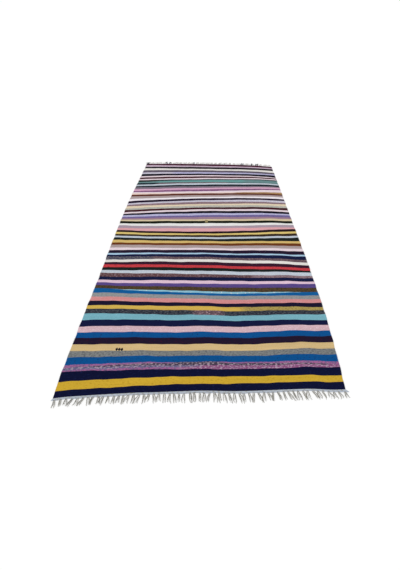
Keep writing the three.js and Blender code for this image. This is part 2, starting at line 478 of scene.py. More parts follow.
# How the cloth rises off the floor: a broad swell, and waves along the selvedges
SWELL_ACROSS = 210
SWELL_ALONG = 260
SWELL_START = 0.9
SWELL_BEND = 1.3
SWELL_BEND_LENGTH = 470
SWELL_SHARE = 0.28
MIDDLE_X = -4
WAVY_FROM = 560
WAVY_TO = 840
EDGE_WAVE_LENGTH = 74
EDGE_WAVE_BEND = 0.8
EDGE_WAVE_BEND_LENGTH = 191
LEVEL_FROM = 1545
LEVEL_LENGTH = 160

# The markings of the wool, and the painted shade in the grooves between its stitches. A grain has its
# length along the weft and along the warp in millimetres, a place of its own in the noise, and the
# noise's detail and roughness.
FLECK_GRAIN = (15.0, 5.4, 3.1, 2.0, 0.6)
SPECK_GRAIN = (12.0, 4.4, 5.6, 2.0, 0.6)
STREAK_GRAIN = (340.0, 6.0, 7.7, 3.0, 0.6)
PICK_GRAIN = (90.0, 1.5, 1.9, 1.0, 0.5)
SPOT_EDGE = 14.0
FLECK_START = 0.64
FLECK_SPREAD = -0.28
FLECK_COVER = 0.9
SPECK_START = 0.80
SPECK_SPREAD = -0.32
SPECK_COVER = 0.8
SPECK_SHADE = 0.16
WEFT_WANDER = 2.4
WARP_WANDER = 1.2
WANDER_RATE = 38.0
WEAR_RATE = 2.6
FIBRE_RATE = 1500.0
FIBRE_HEIGHT = 0.35
FIBRE_ROUGHNESS = 0.16
WOOL_ROUGHNESS = 0.80
WOOL_LIGHT = 0.80
# How far the stitches' height darkens the wool in the grooves between them: painted shade
STITCH_GROOVE_SHADE = 0.30
STREAK_LIGHT = 0.38
PICK_LIGHT = 0.22
WEAR_LIGHT = 0.16

# The markings of the warp's strands: the fibres' sizes in millimetres, and how light they are, with
# painted shade where the fibres lie deeper
FIBRE_LENGTH = 5.0
FIBRE_WIDTH = 0.7
PATCH_RATE = 70.0
WARP_ROUGHNESS = 0.78
WARP_LIGHT = 0.98
FIBRE_TONE_AND_SHADE = 0.50
PATCH_LIGHT = 0.22

# The camera: its place in the plan in metres, its angles in radians, its lens in millimetres
CAMERA_PLACE = (-0.01578, -2.57086, 1.65662)
CAMERA_PITCH = 0.724034
CAMERA_YAW = -0.016901
CAMERA_ROLL = 0.017836
CAMERA_LENS = 20.84
CAMERA_SENSOR = 36.0
CAMERA_NEAREST = 0.01
CAMERA_REACH = 2000.0

# The floor: its rings in metres, its sides and its faint clouds
FLOOR_RINGS = (1.5, 4.0, 12.0, 40.0, 150.0, 1000.0)
FLOOR_SIDES = 96
FLOOR_CLOUD_RATE = 1.3
FLOOR_CLOUD = 0.01

# The soft lamp: how wide it looks, in degrees, and where it shines
LAMP_SPREAD = 35.0
LAMP_AIM = (0.55, 0.35, -1.0)


def yarn_colour(name, red, green, blue):
    """A colour property for one dye, from its red, green and blue out of 255."""
    words = name.replace("_", " ")
    return bpy.props.FloatVectorProperty(
        name=words.capitalize(),
        description=f"Colour of the {words}",
        default=(red / 255, green / 255, blue / 255),
        subtype="COLOR_GAMMA",
        size=3,
        min=0.0,
        max=1.0,
    )


def length_setting(label, description, millimetres, least, most):
    """A length property, given in millimetres and held in metres."""
    return bpy.props.FloatProperty(
        name=label,
        description=description,
        default=millimetres * MM,
        min=least * MM,
        max=most * MM,
        subtype="DISTANCE",
        unit="LENGTH",
        precision=5,
    )


class KilimDyes(bpy.types.PropertyGroup):
    """The colours of the wool, as a dyer would list them."""

    __annotations__ = {name: yarn_colour(name, *yarn[:3]) for name, yarn in YARNS.items()}


class KilimSizes(bpy.types.PropertyGroup):
    """The sizes of the weave and of the fringe."""

    thickness: length_setting("Thickness", "Thickness of the cloth as it lies", 3.0, 1.5, 6.0)
    rib_pitch: length_setting("Rib pitch", "Distance from one warp rib to the next", 3.2, 1.5, 8.0)
    pick_pitch: length_setting("Pick pitch", "Distance from one weft pick to the next", 1.5, 0.5, 4.0)
    ply_radius: length_setting("Ply radius", "Radius of one ply of a fringe strand", 1.15, 0.5, 2.0)
    twist_pitch: length_setting("Twist pitch", "Length of one turn of a strand's two plies", 16, 6, 40)
    lift: length_setting("Lift", "How far the cloth rises off the floor at its highest", 2.4, 0.0, 6.0)


class KilimStage(bpy.types.PropertyGroup):
    """The floor and the light."""

    floor: yarn_colour("floor", 254, 254, 254)
    sky: bpy.props.FloatProperty(
        name="Soft light",
        description="Strength of the even light from all round",
        default=0.835,
        min=0.0,
        max=4.0,
    )
    key: bpy.props.FloatProperty(
        name="Overhead light",
        description="Strength of the wide, soft lamp from the upper left",
        default=0.75,
        min=0.0,
        max=10.0,
    )


def smooth(low, high, value):
    """Rises smoothly from 0 at low to 1 at high."""
    share = np.clip((value - low) / (high - low), 0.0, 1.0)
    return share * share * (3 - 2 * share)


def table_value(rows, column, at):
    """A smooth curve through one column of a table, by a cubic between its rows."""
    table = np.array(rows, float)
    keys = table[:, 0]
    values = table[:, column]
    place = np.clip(at, keys[0], keys[-1])
    start = np.clip(np.searchsorted(keys, place) - 1, 0, len(keys) - 2)
    before = np.maximum(start - 1, 0)
    after = np.minimum(start + 2, len(keys) - 1)
    span = keys[start + 1] - keys[start]
    start_slope = (values[start + 1] - values[before]) / (keys[start + 1] - keys[before])
    end_slope = (values[after] - values[start]) / (keys[after] - keys[start])
    u = (place - keys[start]) / span
    rise = u * u * (3 - 2 * u)
    start_pull = u * (1 - u) * (1 - u) * span * start_slope
    end_pull = u * u * (1 - u) * span * end_slope
    return values[start] + rise * (values[start + 1] - values[start]) + start_pull - end_pull


def scatter(index, seed):
    """A repeatable value from 0 to 1 for a numbered thing."""
    wave = np.sin(index * 12.9898 + seed * 78.233) * 43758.5453
    return wave - np.floor(wave)


def chances(index, seed, count):
    """Repeatable values from 0 to 1 for a numbered thing, one for each way in which it varies."""
    return [scatter(index, seed + kind) for kind in range(count)]


def selvedge_x(side, along):
    """The selvedge's X on one side, ripple included."""
    x = table_value(SELVEDGES, side, along)
    for wave in SELVEDGE_RIPPLE:
        x = x + wave[0] * np.sin(2 * math.pi * wave[1] * along + wave[1 + side])
    return x


def cloth_point(across, along):
    """A point of the cloth in plan, in millimetres, from its place across and along."""
    near = table_value(WOVEN_ENDS, NEAR, across)
    far = table_value(WOVEN_ENDS, FAR, across)
    left = selvedge_x(LEFT, along)
    right = selvedge_x(RIGHT, along)
    return left + (right - left) * across, near + (far - near) * along


def plan_shift():
    """How far the frame's origin stands from the plan's, in metres."""
    along = np.linspace(0, 1, OUTLINE_LENGTHS + 1)
    left, _ = cloth_point(np.zeros_like(along), along)
    across = np.linspace(0, 1, OUTLINE_WIDTHS + 1)
    _, near = cloth_point(across, np.zeros_like(across))
    low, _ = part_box(CLOTH_NODE)
    return low[0] - left.min() * MM, low[1] - near.min() * MM


SHIFT_X, SHIFT_Y = plan_shift()


def band_edge(fringe, across, outer):
    """One of the band's two long edges: the inner one beside the cloth, the outer one at the strands."""
    x, y = cloth_point(across, np.full_like(across, fringe["end"] - 1.0))
    if not outer:
        return x, y
    drift = BAND_WAVE_DRIFT * np.sin(BAND_DRIFT_RATE * across)
    wave = np.sin(2 * math.pi * (BAND_WAVES * across + drift))
    depth = fringe["band_depth"] + fringe["band_ripple"] * wave
    left_share = np.clip(1 - across / BAND_END_SHARE, 0, 1)
    right_share = np.clip(1 - (1 - across) / BAND_END_SHARE, 0, 1)
    flare = fringe["flare_left"] * left_share + fringe["flare_right"] * right_share
    return x + flare * depth, y + fringe["direction"] * depth


def fringe_strands(fringe):
    """Every strand: its root, the X that it aims at, its curl, its length and its lock's number."""
    strands = []
    last_aim = -math.inf
    last_bow = 0.0
    shortest = fringe["length_min"]
    longest = fringe["length_max"]
    for lock in range(fringe["locks"]):
        step, slant, width, turn, arch = chances(lock, fringe["seed"], 5)
        place = (lock + 0.5 + LOCK_JITTER * (2 * step - 1)) / fringe["locks"]
        across = BAND_END_MARGIN + (1 - 2 * BAND_END_MARGIN) * place
        lean = table_value(FRINGE_LEAN, fringe["end"], across) + LEAN_VARIATION * (2 * slant - 1)
        spread = TIP_SPREAD_MIN + (TIP_SPREAD_MAX - TIP_SPREAD_MIN) * width
        curl = CURL_HEIGHT * (2 * turn - 1)
        bow = BOW_MAX * arch
        trim = table_value(FRINGE_TRIM, fringe["end"], across)
        root_x, root_y = band_edge(fringe, np.array(across), True)
        for side in (-0.5, 0.5):
            wanted = root_x + side * spread + lean * STRAND_REACH
            room = last_bow + bow if side < 0 else 0.0
            aim = max(wanted, last_aim + STRAND_SPACING_LEAST + room)
            last_aim = aim
            reach = scatter(lock, fringe["seed"] + LENGTH_SEED + side)
            strands.append({
                "root_x": root_x + side * ROOT_SPACING,
                "root_y": root_y,
                "aim_x": aim,
                "curl": curl + 2 * side * bow,
                "length": trim * (shortest + (longest - shortest) * reach),
                "lock": lock,
                "side": side,
            })
        last_bow = bow
    return strands


def stripe_widths(across):
    """Every stripe's width at each place across, by a parabola through the chart's three."""
    a, b, c = CHART_PLACES
    left = (across - b) * (across - c) / ((a - b) * (a - c))
    middle = (across - a) * (across - c) / ((b - a) * (b - c))
    right = (across - a) * (across - b) / ((c - a) * (c - b))
    chart = np.array([stripe[1:] for stripe in STRIPES], float)
    widths = chart[:, :1] * left + chart[:, 1:2] * middle + chart[:, 2:] * right
    return np.maximum(widths, LEAST_WIDTH)


def stripe_lines(across):
    """The place along of every line between two stripes, for each place across, from 0 to 1."""
    near = table_value(WOVEN_ENDS, NEAR, across)
    far = table_value(WOVEN_ENDS, FAR, across)
    widths = stripe_widths(across)
    lines = np.concatenate([np.zeros((1, len(across))), np.cumsum(widths, axis=0)])
    lines = lines / lines[-1] * (far - near)
    number = np.arange(len(lines))[:, None]
    wobble = np.zeros_like(lines)
    for height, waves, drift in LINE_WAVES:
        wobble = wobble + height * np.sin(2 * math.pi * waves * across + drift * number)
    for turn, (height, waves) in enumerate(OWN_WAVES):
        phase = 2 * math.pi * scatter(number, OWN_WAVE_SEED + turn)
        wobble = wobble + height * np.sin(2 * math.pi * waves * across + phase)
    wobble[0] = 0
    wobble[-1] = 0
    lines = lines + wobble
    for line in range(1, len(lines) - 1):
        lines[line] = np.maximum(lines[line], lines[line - 1] + LEAST_WIDTH)
    return lines / (far - near)


def cloth_lift(x, y):
    """How far the cloth stands off the floor, in metres, at a place given in millimetres."""
    sizes = bpy.context.scene.kilim_sizes
    bend = SWELL_BEND * np.sin(y / SWELL_BEND_LENGTH)
    swell = 0.5 + 0.5 * np.sin(x / SWELL_ACROSS + bend) * np.sin(y / SWELL_ALONG + SWELL_START)
    edge = smooth(WAVY_FROM, WAVY_TO, np.abs(x - MIDDLE_X))
    edge_bend = EDGE_WAVE_BEND * np.sin(y / EDGE_WAVE_BEND_LENGTH)
    edge_wave = 0.5 + 0.5 * np.sin(y / EDGE_WAVE_LENGTH + edge_bend + np.sign(x))
    ends = smooth(0, LEVEL_LENGTH, LEVEL_FROM - np.abs(y))
    return ends * sizes.lift * (SWELL_SHARE * swell + (1 - SWELL_SHARE) * edge * edge_wave)


def plan_points(x, y, z):
    """Points in metres, from X and Y in the plan's millimetres and a height in metres."""
    return np.stack([x * MM + SHIFT_X, y * MM + SHIFT_Y, z], axis=-1)


def sheet_points(x, y, half_edge, lift, thickness):
    """The upper and lower points of a sheet, in metres, rounded over where half_edge falls to 0."""
    middle = lift + thickness / 2
    rise = thickness / 2 * half_edge
    for row in (1, -2):
        for column in (1, -2):
            rise[row, column] *= CORNER_HEIGHT
    return plan_points(x, y, middle + rise), plan_points(x, y, middle - rise)


def round_edge(distance):
    """The share of a sheet's half thickness at a distance from its edge, in millimetres."""
    reach = np.clip(distance / EDGE_RADIUS, 0, 1)
    return np.sqrt(1 - (1 - reach) ** 2)


def face_corners(low, high):
    """What lies at the corners of each face, from the low and the high side of each row of faces."""
    return np.stack([low[:, :-1], low[:, 1:], high[:, 1:], high[:, :-1]], axis=2)


def both_sides(top, bottom):
    """The corners of all faces, top then bottom, turned so that none is split across a sheet's corner."""
    bottom = bottom[:, :, TURNED_OVER]
    for side in (top, bottom):
        side[0, -1] = np.roll(side[0, -1], 1, axis=0)
        side[-1, 0] = np.roll(side[-1, 0], 1, axis=0)
    tail = top.shape[2:]
    return np.concatenate([top.reshape(-1, *tail), bottom.reshape(-1, *tail)])


def sheet_corners(low, high):
    """The corners of all faces, for values that the top and the bottom share."""
    corners = face_corners(low, high)
    return both_sides(corners, corners)


def sheet_mesh(name, upper, lower):
    """A closed mesh from two grids of points that share their border."""
    rows, columns = upper.shape[:2]
    top = np.arange(rows * columns).reshape(rows, columns)
    bottom = top.copy()
    inner = np.arange((rows - 2) * (columns - 2)).reshape(rows - 2, columns - 2)
    bottom[1:-1, 1:-1] = rows * columns + inner
    points = np.concatenate([upper.reshape(-1, 3), lower[1:-1, 1:-1].reshape(-1, 3)])
    faces = both_sides(face_corners(top[:-1], top[1:]), face_corners(bottom[:-1], bottom[1:]))
    mesh = bpy.data.meshes.new(name)
    mesh.from_pydata(points.tolist(), [], faces.tolist())
    mesh.polygons.foreach_set("use_smooth", np.ones(len(faces), bool))
    return mesh


def set_colours(mesh, name, colours, domain):
    """Writes a colour attribute of four linear numbers for each corner or point."""
    attribute = mesh.attributes.new(name, "FLOAT_COLOR", domain)
    attribute.data.foreach_set("color", np.ascontiguousarray(colours, np.float32).ravel())


def lay_weave(mesh, weft, warp):
    """Writes each corner's place along the weft and the warp, given in millimetres, in metres."""
    places = np.stack([weft, np.broadcast_to(warp, weft.shape), 0 * weft], axis=-1) * MM
    corners = sheet_corners(places[:-1], places[1:])
    attribute = mesh.attributes.new("weave", "FLOAT_VECTOR", "CORNER")
    attribute.data.foreach_set("vector", np.ascontiguousarray(corners, np.float32).ravel())


def linear(colour):
    """A display colour as the linear numbers that a shader works with."""
    shade = np.array(colour, float)
    return np.where(shade <= 0.04045, shade / 12.92, ((shade + 0.055) / 1.055) ** 2.4)


def dye(name):
    """A dye's linear red, green and blue."""
    return linear(getattr(bpy.context.scene.kilim_dyes, name))


def yarn_pair(name):
    """A yarn's own colour with 1 behind it, and its flecks' colour with their share behind it."""
    fleck, share = YARNS[name][3:]
    return np.append(dye(name), 1.0), np.append(dye(fleck), share)


def new_object(name, data):
    """An object for a mesh, a lamp or a camera, in the scene."""
    item = bpy.data.objects.new(name, data)
    bpy.context.scene.collection.objects.link(item)
    return item


def place_piece(name, mesh, material):
    """A piece of the kilim, riding on the part's only body."""
    piece = new_object(name, mesh)
    mesh.materials.append(material)
    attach(piece, "root")
    return piece


class Nodes:
    """A material's node tree, with short ways to add and join its nodes."""

    def __init__(self, name):
        self.material = bpy.data.materials.new(name)
        self.material.use_nodes = True
        self.tree = self.material.node_tree
        self.shader = self.tree.nodes["Principled BSDF"]

    def add(self, kind, **settings):
        """A new node with its settings."""
        node = self.tree.nodes.new(kind)
        for key, value in settings.items():
            setattr(node, key, value)
        return node

    def join(self, value, socket):
        """Links an output to a socket, or sets the socket's own value."""
        if isinstance(value, bpy.types.NodeSocket):
            self.tree.links.new(value, socket)
        else:
            socket.default_value = value

    def math(self, operation, *values):
        """The result of a sum on one, two or three numbers."""
        node = self.add("ShaderNodeMath", operation=operation)
        for socket, value in zip(node.inputs, values):
            self.join(value, socket)
        return node.outputs["Value"]

    def vector(self, x, y, z):
        """A vector from three numbers."""
        node = self.add("ShaderNodeCombineXYZ")
        for socket, value in zip(node.inputs, (x, y, z)):
            self.join(value, socket)
        return node.outputs["Vector"]

    def noise(self, place, detail, roughness):
        """Noise from about 0.25 to 0.75 at a place."""
        node = self.add("ShaderNodeTexNoise", noise_dimensions="3D")
        self.join(place, node.inputs["Vector"])
        node.inputs["Scale"].default_value = 1.0
        node.inputs["Detail"].default_value = detail
        node.inputs["Roughness"].default_value = roughness
        return node.outputs["Fac"]

    def grain(self, weft, warp, form):
        """Noise with grains of one form along the weft and the warp."""
        weft_length, warp_length, place, detail, roughness = form
        across = self.math("DIVIDE", weft, weft_length * MM)
        along = self.math("DIVIDE", warp, warp_length * MM)
        return self.noise(self.vector(across, along, place), detail, roughness)

    def centred(self, noise):
        """Noise about 0."""
        return self.math("SUBTRACT", noise, 0.5)

    def spots(self, noise, start, cover):
        """Spots where the noise rises above a start, and how far they cover what lies under them."""
        rise = self.math("MULTIPLY", self.math("SUBTRACT", noise, start), SPOT_EDGE)
        within = self.math("MINIMUM", self.math("MAXIMUM", rise, 0.0), 1.0)
        return self.math("MULTIPLY", within, cover)

    def mix(self, share, first, second):
        """A colour between two others."""
        node = self.add("ShaderNodeMix", data_type="RGBA", blend_type="MIX")
        self.join(share, node.inputs["Factor"])
        self.join(first, node.inputs[6])
        self.join(second, node.inputs[7])
        return node.outputs[2]

    def scale_colour(self, colour, amount):
        """A colour made lighter or darker by an amount."""
        node = self.add("ShaderNodeVectorMath", operation="SCALE")
        self.join(colour, node.inputs[0])
        self.join(amount, node.inputs["Scale"])
        return node.outputs["Vector"]

    def total(self, start, *parts):
        """A start with parts added to it, each a value and its weight."""
        for value, weight in parts:
            start = self.math("MULTIPLY_ADD", value, weight, start)
        return start

    def bump(self, height, distance, strength):
        """Raises the surface's shading by a height, over a distance in millimetres."""
        node = self.add("ShaderNodeBump")
        node.inputs["Distance"].default_value = distance * MM
        node.inputs["Strength"].default_value = strength
        self.join(height, node.inputs["Height"])
        self.join(node.outputs["Normal"], self.shader.inputs["Normal"])

    def surface(self, colour, roughness, specular, sheen=0.0, sheen_roughness=0.5):
        """Joins the surface's colour and sets how it takes the light."""
        self.join(colour, self.shader.inputs["Base Color"])
        self.join(roughness, self.shader.inputs["Roughness"])
        self.join(specular, self.shader.inputs["Specular IOR Level"])
        self.join(sheen, self.shader.inputs["Sheen Weight"])
        self.join(sheen_roughness, self.shader.inputs["Sheen Roughness"])


def woven_wool():
    """Weft-faced plain weave: rows of short wool stitches over hidden warps, in the mesh's own yarns,
    with painted shade in the grooves between the stitches.
    """
    name = "woven_wool"
    if name in bpy.data.materials:
        return bpy.data.materials[name]
    sizes = bpy.context.scene.kilim_sizes
    nodes = Nodes(name)
    weave = nodes.add("ShaderNodeAttribute", attribute_name="weave").outputs["Vector"]
    split = nodes.add("ShaderNodeSeparateXYZ")
    nodes.join(weave, split.inputs["Vector"])
    weft = split.outputs["X"]
    warp = split.outputs["Y"]

    wander = nodes.centred(nodes.noise(nodes.scale_colour(weave, WANDER_RATE), detail=2.0, roughness=0.5))
    loose_weft = nodes.math("MULTIPLY_ADD", wander, WEFT_WANDER * MM, weft)
    loose_warp = nodes.math("MULTIPLY_ADD", wander, WARP_WANDER * MM, warp)
    rib = nodes.math("DIVIDE", loose_weft, sizes.rib_pitch)
    half_step = nodes.math("MULTIPLY", nodes.math("FLOORED_MODULO", nodes.math("FLOOR", rib), 2.0), 0.5)
    pick = nodes.math("ADD", nodes.math("DIVIDE", loose_warp, 2 * sizes.pick_pitch), half_step)
    rib_arch = nodes.math("SINE", nodes.math("MULTIPLY", nodes.math("FRACT", rib), math.pi))
    pick_arch = nodes.math("SINE", nodes.math("MULTIPLY", nodes.math("FRACT", pick), math.pi))
    stitch = nodes.math("SQRT", nodes.math("MULTIPLY", rib_arch, pick_arch))

    yarn = nodes.add("ShaderNodeAttribute", attribute_name="yarn").outputs["Color"]
    fleck = nodes.add("ShaderNodeAttribute", attribute_name="fleck")
    amount = fleck.outputs["Alpha"]
    fleck_start = nodes.math("MULTIPLY_ADD", amount, FLECK_SPREAD, FLECK_START)
    flecks = nodes.spots(nodes.grain(weft, warp, FLECK_GRAIN), fleck_start, FLECK_COVER)
    wool = nodes.mix(flecks, yarn, fleck.outputs["Color"])
    speck_start = nodes.math("MULTIPLY_ADD", amount, SPECK_SPREAD, SPECK_START)
    specks = nodes.spots(nodes.grain(weft, warp, SPECK_GRAIN), speck_start, SPECK_COVER)
    wool = nodes.mix(specks, wool, nodes.scale_colour(yarn, SPECK_SHADE))

    streak = nodes.centred(nodes.grain(weft, warp, STREAK_GRAIN))
    single = nodes.centred(nodes.grain(weft, warp, PICK_GRAIN))
    wear = nodes.centred(nodes.noise(nodes.scale_colour(weave, WEAR_RATE), detail=3.0, roughness=0.55))
    # The stitch height also darkens the colour in the grooves between the stitches: painted shade
    parts = ((stitch, STITCH_GROOVE_SHADE), (streak, STREAK_LIGHT), (single, PICK_LIGHT), (wear, WEAR_LIGHT))
    colour = nodes.scale_colour(wool, nodes.total(WOOL_LIGHT, *parts))

    fibre = nodes.noise(nodes.scale_colour(weave, FIBRE_RATE), detail=2.0, roughness=0.6)
    nodes.bump(nodes.total(stitch, (fibre, FIBRE_HEIGHT)), distance=0.8, strength=0.55)
    roughness = nodes.total(WOOL_ROUGHNESS, (fibre, FIBRE_ROUGHNESS))
    nodes.surface(colour, roughness, specular=0.05, sheen=0.01, sheen_roughness=0.6)
    return nodes.material


def twisted_warp():
    """Undyed spun warp: pale fibres that run along the strand, greyer where they lie deeper, which is
    painted shade.
    """
    name = "twisted_warp"
    if name in bpy.data.materials:
        return bpy.data.materials[name]
    nodes = Nodes(name)
    place = nodes.add("ShaderNodeTexCoord").outputs["Object"]
    split = nodes.add("ShaderNodeSeparateXYZ")
    nodes.join(place, split.inputs["Vector"])
    along = nodes.math("DIVIDE", split.outputs["Y"], FIBRE_LENGTH * MM)
    across = nodes.math("DIVIDE", split.outputs["X"], FIBRE_WIDTH * MM)
    deep = nodes.math("DIVIDE", split.outputs["Z"], FIBRE_WIDTH * MM)
    fibre = nodes.noise(nodes.vector(across, along, deep), detail=3.0, roughness=0.6)
    patch = nodes.noise(nodes.scale_colour(place, PATCH_RATE), detail=2.0, roughness=0.5)
    # The fibre noise is also the bump's height, so besides the fibres' own tone it greys the deeper
    # fibres: painted shade
    parts = ((nodes.centred(fibre), FIBRE_TONE_AND_SHADE), (nodes.centred(patch), PATCH_LIGHT))
    yarn = nodes.add("ShaderNodeAttribute", attribute_name="yarn").outputs["Color"]
    colour = nodes.scale_colour(yarn, nodes.total(WARP_LIGHT, *parts))
    nodes.bump(fibre, distance=0.5, strength=0.6)
    roughness = nodes.total(WARP_ROUGHNESS, (fibre, FIBRE_ROUGHNESS))
    nodes.surface(colour, roughness, specular=0.10, sheen=0.02, sheen_roughness=0.5)
    return nodes.material


def tube(path, radii, sides):
    """The points and faces of a closed tube of rings along a path, with a point at each end."""
    heading = np.gradient(path, axis=0)
    heading /= np.linalg.norm(heading, axis=1)[:, None]
    side = np.cross(heading, (0.0, 0.0, 1.0))
    side /= np.linalg.norm(side, axis=1)[:, None]
    up = np.cross(side, heading)
    turn = 2 * math.pi * np.arange(sides) / sides
    spokes = np.cos(turn)[None, :, None] * side[:, None] + np.sin(turn)[None, :, None] * up[:, None]
    rings = path[:, None] + radii[:, None, None] * spokes
    start = path[0] - heading[0] * radii[0] * PLY_POINT
    finish = path[-1] + heading[-1] * radii[-1] * PLY_POINT
    points = np.concatenate([rings.reshape(-1, 3), [start, finish]])
    count = len(path) * sides
    faces = []
    for ring in range(len(path) - 1):
        for k in range(sides):
            here = ring * sides + k
            beside = ring * sides + (k + 1) % sides
            faces.append((here, here + sides, beside + sides, beside))
    last = count - sides
    for k in range(sides):
        following = (k + 1) % sides
        faces.append((count, k, following))
        faces.append((count + 1, last + following, last + k))
    return points, faces


class Bundle:
    """Tubes gathered into one mesh, each with its own colour."""

    def __init__(self):
        self.points = []
        self.faces = []
        self.colours = []
        self.count = 0

    def add(self, path, radii, sides, colour):
        """Adds one tube along a path in metres."""
        points, faces = tube(path, radii, sides)
        self.points.append(points)
        self.faces.extend([tuple(index + self.count for index in face) for face in faces])
        self.colours.append(np.tile(np.append(colour, 1.0), (len(points), 1)))
        self.count += len(points)

    def mesh(self, name):
        """The mesh of all the tubes."""
        mesh = bpy.data.meshes.new(name)
        mesh.from_pydata(np.concatenate(self.points).tolist(), [], self.faces)
        mesh.polygons.foreach_set("use_smooth", np.ones(len(self.faces), bool))
        set_colours(mesh, "yarn", np.concatenate(self.colours), "POINT")
        return mesh


def edge_places(length):
    """Places near 0 and 1 along a length in millimetres, where an edge is rounded over."""
    close = np.array((0.0,) + EDGE_STEPS) / length
    return close, 1 - close[::-1]


class KILIM_OT_cloth(bpy.types.Operator):
    """Weaves the striped cloth, stripe by stripe, as one closed sheet"""

    bl_idname = "kilim.cloth"
    bl_label = "Weave the cloth"

    def execute(self, context):
        start, finish = edge_places(MEAN_WIDTH)
        inner = np.linspace(0, 1, COLUMNS + 1)[1:-1]
        across = np.concatenate([start, inner, finish])
        lines = stripe_lines(across)
        stripe_mean = np.array([stripe[1:] for stripe in STRIPES], float).mean(axis=1)
        warp_place = np.concatenate([[0], np.cumsum(stripe_mean)])

        along_rows = []
        warp_rows = []
        row_stripe = []
        for stripe, width in enumerate(stripe_mean):
            steps = max(LEAST_ROWS, round(width / ROW_LENGTH))
            shares = np.arange(steps) / steps
            if stripe == 0:
                shares = np.sort(np.concatenate([shares, np.array(EDGE_STEPS) / width]))
            if stripe == len(STRIPES) - 1:
                shares = np.sort(np.concatenate([shares, 1 - np.array(EDGE_STEPS) / width]))
            for share in shares:
                along_rows.append(lines[stripe] + share * (lines[stripe + 1] - lines[stripe]))
                warp_rows.append(warp_place[stripe] + share * width)
                row_stripe.append(stripe)
        along_rows.append(lines[-1])
        warp_rows.append(warp_place[-1])
        along = np.array(along_rows)
        across_grid = np.broadcast_to(across, along.shape)

        x, y = cloth_point(across_grid, along)
        near_y = y - y[0]
        far_y = y[-1] - y
        left_x = x - x[:, :1]
        right_x = x[:, -1:] - x
        edge = np.minimum(np.minimum(near_y, far_y), np.minimum(left_x, right_x))
        thickness = context.scene.kilim_sizes.thickness
        stripe_of_row = np.array(row_stripe + [len(STRIPES) - 1])
        relief = STRIPE_RELIEF * MM * (scatter(stripe_of_row, RELIEF_SEED)[:, None] - 0.5)
        upper, lower = sheet_points(x, y, round_edge(edge), cloth_lift(x, y), thickness)
        upper[..., 2] += relief * round_edge(edge)
        mesh = sheet_mesh("kilim_cloth_wool", upper, lower)

        base = np.zeros((len(row_stripe), len(across), 4))
        fleck = np.zeros_like(base)
        widths = stripe_widths(across)
        for row, stripe in enumerate(row_stripe):
            base[row], fleck[row] = self.stripe_colours(stripe, x[row], widths[stripe])
        set_colours(mesh, "yarn", sheet_corners(base, base), "CORNER")
        set_colours(mesh, "fleck", sheet_corners(fleck, fleck), "CORNER")
        lay_weave(mesh, x, np.array(warp_rows)[:, None])

        cloth = place_piece("kilim_cloth_wool", mesh, woven_wool())
        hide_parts(CLOTH_NODE)
        return {"FINISHED"}

    def stripe_colours(self, stripe, x, width):
        """The yarn and the flecks of one stripe at each X in millimetres."""
        base, fleck = yarn_pair(STRIPES[stripe][0])
        base = np.tile(base, (len(x), 1))
        fleck = np.tile(fleck, (len(x), 1))
        for changed, start, finish, other in YARN_CHANGES:
            if changed == stripe:
                share = smooth(start, start + CHANGE_LENGTH, x)
                share = share * (1 - smooth(finish - CHANGE_LENGTH, finish, x))
                other_base, other_fleck = yarn_pair(other)
                base += share[:, None] * (other_base - base)
                fleck += share[:, None] * (other_fleck - fleck)
        if stripe:
            below_base, below_fleck = yarn_pair(STRIPES[stripe - 1][0])
            gone = (1 - smooth(LEAST_WIDTH, SHOWN_WIDTH, width))[:, None]
            base += gone * (below_base - base)
            fleck += gone * (below_fleck - fleck)
        return base, fleck


class KILIM_OT_end_bands(bpy.types.Operator):
    """Weaves the narrow plain band at each end, which the fringe hangs from"""

    bl_idname = "kilim.end_bands"
    bl_label = "Weave the end bands"

    def execute(self, context):
        for label, fringe in FRINGES.items():
            self.weave_band(context, label, fringe)
        return {"FINISHED"}

    def weave_band(self, context, label, fringe):
        """One band as a closed sheet beside the cloth's edge."""
        start, finish = edge_places(MEAN_WIDTH)
        across = np.concatenate([start, np.linspace(0, 1, 2 * COLUMNS)[1:-1], finish])
        inner_x, inner_y = band_edge(fringe, across, False)
        outer_x, outer_y = band_edge(fringe, across, True)
        inner_y = inner_y - fringe["direction"] * BAND_TUCK
        depth = fringe["band_depth"]
        close = np.array((0.0,) + EDGE_STEPS) / depth
        steps = max(BAND_LEAST_ROWS, round(depth / BAND_ROW))
        middle = np.linspace(close[-1], 1 - close[-1], steps + 1)[1:-1]
        shares = np.concatenate([close, middle, 1 - close[::-1]])[:, None]
        if fringe["direction"] < 0:
            shares = shares[::-1]
        x = inner_x + shares * (outer_x - inner_x)
        y = inner_y + shares * (outer_y - inner_y)
        side_edge = np.minimum(across, 1 - across) * MEAN_WIDTH
        edge = np.minimum(np.minimum(shares, 1 - shares) * depth, side_edge)
        thickness = context.scene.kilim_sizes.thickness * BAND_SHARE
        upper, lower = sheet_points(x, y, round_edge(edge), 0 * x, thickness)
        mesh = sheet_mesh(f"end_band_{label}", upper, lower)
        colour = np.append(dye("end_band"), 1.0)
        fleck = np.append(dye("warp"), BAND_FLECKS)
        set_colours(mesh, "yarn", np.tile(colour, (len(mesh.loops), 1)), "CORNER")
        set_colours(mesh, "fleck", np.tile(fleck, (len(mesh.loops), 1)), "CORNER")
        lay_weave(mesh, x, shares * depth + BAND_WEAVE_START)
        band = place_piece(f"end_band_{label}", mesh, woven_wool())
        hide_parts(fringe["node"])


